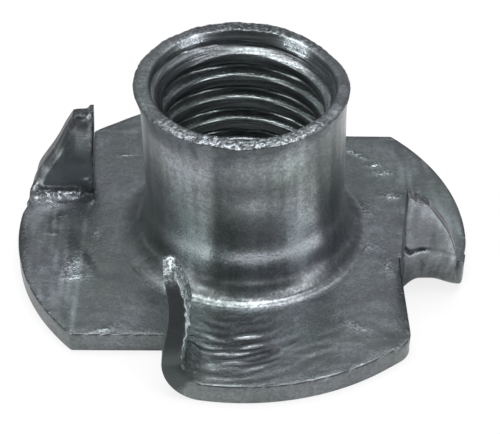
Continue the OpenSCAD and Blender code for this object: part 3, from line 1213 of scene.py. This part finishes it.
def pale_world():
    """A pale room with a darker wall in front, and plain white where the camera looks straight at it"""
    world = bpy.data.worlds.new("pale_room")
    bpy.context.scene.world = world
    tree, out = blank_tree(world, "ShaderNodeOutputWorld")
    way = node(tree, "ShaderNodeTexCoord").outputs["Generated"]
    wall = {0: way, 1: (0.0, -0.82, 0.57)}
    front = node(tree, "ShaderNodeVectorMath", wall, operation="DOT_PRODUCT").outputs[1]
    front = colour_ramp(tree, front, {0.3: (1, 1, 1), 0.75: (0.2, 0.2, 0.2)})
    high = node(tree, "ShaderNodeSeparateXYZ", {0: way}).outputs[2]
    room = {0.3: (0.16, 0.165, 0.17), 0.64: (0.4, 0.415, 0.43), 1.0: (0.95, 0.98, 1.0)}
    room = mixed(tree, 1.0, front, colour_ramp(tree, high, room), "MULTIPLY")
    _, camera_ray = backdrop_ray(tree)
    colour = mixed(tree, camera_ray, room, (1, 1, 1, 1))
    back = node(tree, "ShaderNodeBackground", {"Color": colour, "Strength": 1.0})
    tree.links.new(back.outputs[0], out.inputs["Surface"])


# The floor's radius and depth under the nut in metres, and how many sides it has
FLOOR_R = 0.5
FLOOR_Z = -0.00003
FLOOR_SIDES = 96


def pale_floor():
    """A large plain disc under the nut that takes a soft shadow"""
    ring = FLOOR_R * np.exp(1j * np.linspace(0, 2 * math.pi, FLOOR_SIDES, endpoint=False))
    points = np.stack([ring.real, ring.imag, np.full(FLOOR_SIDES, FLOOR_Z)], axis=-1)
    mesh = bpy.data.meshes.new("floor")
    mesh.from_pydata(points, [], [list(range(FLOOR_SIDES))])
    floor = bpy.data.objects.new("floor", mesh)
    bpy.context.scene.collection.objects.link(floor)
    material = bpy.data.materials.new("pale_floor")
    tree, out = blank_tree(material, "ShaderNodeOutputMaterial")
    matt = node(tree, "ShaderNodeBsdfDiffuse", {"Color": (0.86, 0.86, 0.86, 1)})
    white = node(tree, "ShaderNodeEmission", {"Color": (1, 1, 1, 1), "Strength": 1.04})
    far = node(tree, "ShaderNodeVectorMath", {0: object_place(tree)}, operation="LENGTH").outputs[1]
    clear = maths(tree, "MULTIPLY_ADD", far, 250, -2.4, clamp=True)
    mirrored, straight = backdrop_ray(tree)
    share = maths(tree, "MAXIMUM", maths(tree, "MULTIPLY", mirrored, clear), straight)
    share = maths(tree, "MULTIPLY", share, 0.78)
    both = node(tree, "ShaderNodeMixShader", {0: share, 1: matt.outputs[0], 2: white.outputs[0]})
    tree.links.new(both.outputs[0], out.inputs["Surface"])
    mesh.materials.append(material)


# The point that the lamps are turned to, in metres
LAMPS_AIM = np.array([0, 0, 0.004])
# Lamps: azimuth and elevation in degrees, distance and size in metres, and brightness, where 1 is white
LAMPS = (
    ("box_over", 0, 95, 0.4, 0.32, 3.6),
    ("box_left", -56, 40, 0.45, 0.2, 2.6),
    ("box_right", 56, 40, 0.45, 0.2, 2.6),
    ("glint_left", -64, 11, 0.45, 0.14, 3.0),
    ("glint_right", 64, 11, 0.45, 0.14, 3.0),
)


def soft_box(name, azimuth, elevation, distance, size, level):
    """A square lamp turned to the nut; level is its brightness, where 1 is white"""
    lamp = bpy.data.lights.new(name, "AREA")
    lamp.shape = "SQUARE"
    lamp.size = size
    lamp.energy = level * math.pi * size * size
    side, up, back = studio_axes(azimuth, elevation)
    stand(name, lamp, (side, up, back, back * distance + LAMPS_AIM))


def studio_axes(azimuth, elevation):
    """Unit vectors to the right, up and back of something that looks in from an azimuth and an elevation"""
    side = np.array([math.cos(azimuth), math.sin(azimuth), 0.0])
    flat = math.cos(elevation)
    back = np.array([math.sin(azimuth) * flat, -math.cos(azimuth) * flat, math.sin(elevation)])
    return side, np.cross(back, side), back


def stand(name, data, columns):
    """A new object of a lamp or camera, from its three axes and its place"""
    made = bpy.data.objects.new(name, data)
    made.matrix_world = Matrix([*np.stack(columns, axis=-1), (0, 0, 0, 1)])
    bpy.context.scene.collection.objects.link(made)
    return made


def place_camera(studio):
    """The camera, its roll taken about the line of sight"""
    side, up, back = studio_axes(studio.azimuth, studio.elevation)
    right = math.cos(studio.roll) * side + math.sin(studio.roll) * up
    over = -math.sin(studio.roll) * side + math.cos(studio.roll) * up
    aim = np.array([0, 0, studio.aim_height]) + side * studio.aim_side
    place = (aim + back * studio.distance) * MM
    lens = bpy.data.cameras.new("camera")
    lens.lens = studio.lens
    lens.sensor_width = 36
    lens.clip_start = 0.001
    bpy.context.scene.camera = stand("camera", lens, (right, over, back, place))


# ---------------------------------------------------------------------------------------------------------
# Operators, panel and registration
# ---------------------------------------------------------------------------------------------------------


class TEENUT_OT_nut(bpy.types.Operator):
    """Build the pressed nut: barrel, thread, flange and prongs in one skin"""

    bl_idname = "teenut.nut"
    bl_label = "Pressed nut"

    def execute(self, context):
        scene = context.scene
        mesh = nut_skin(scene.nut_sizes).mesh("pressed_nut")
        nut = bpy.data.objects.new("pressed_nut", mesh)
        scene.collection.objects.link(nut)
        finish = scene.nut_finish
        groups = {"mottle": plating_group(), "scratches": scratch_group()}
        for name in FINISHES:
            mesh.materials.append(zinc_finish(name, finish, groups))
        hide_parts(NODE)
        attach(nut, BODY)
        return {"FINISHED"}


class TEENUT_OT_studio(bpy.types.Operator):
    """Set up the plain studio: pale room and floor, soft lamps and the camera"""

    bl_idname = "teenut.studio"
    bl_label = "Studio"

    def execute(self, context):
        context.scene.view_settings.view_transform = "Standard"
        pale_world()
        pale_floor()
        for name, azimuth, elevation, distance, size, level in LAMPS:
            soft_box(name, math.radians(azimuth), math.radians(elevation), distance, size, level)
        place_camera(context.scene.nut_studio)
        return {"FINISHED"}


class TEENUT_PT_panel(bpy.types.Panel):
    bl_idname = "TEENUT_PT_panel"
    bl_label = "Tee nut"
    bl_space_type = "VIEW_3D"
    bl_region_type = "UI"
    bl_category = "Tee nut"

    def draw(self, context):
        layout = self.layout
        for operator in OPERATORS:
            layout.operator(operator.bl_idname)
        for group in (context.scene.nut_sizes, context.scene.nut_finish, context.scene.nut_studio):
            for name in group.__annotations__:
                layout.prop(group, name)


GROUPS = {"nut_sizes": NutSizes, "nut_finish": NutFinish, "nut_studio": NutStudio}
OPERATORS = (TEENUT_OT_nut, TEENUT_OT_studio)


def register():
    for item in (*GROUPS.values(), *OPERATORS, TEENUT_PT_panel):
        bpy.utils.register_class(item)
    for name, group in GROUPS.items():
        setattr(bpy.types.Scene, name, bpy.props.PointerProperty(type=group))


def unregister():
    for name in GROUPS:
        delattr(bpy.types.Scene, name)
    for item in reversed((*GROUPS.values(), *OPERATORS, TEENUT_PT_panel)):
        bpy.utils.unregister_class(item)


def main():
    register()
    bpy.ops.teenut.nut()
    bpy.ops.teenut.studio()


if __name__ == "__main__":
    main()
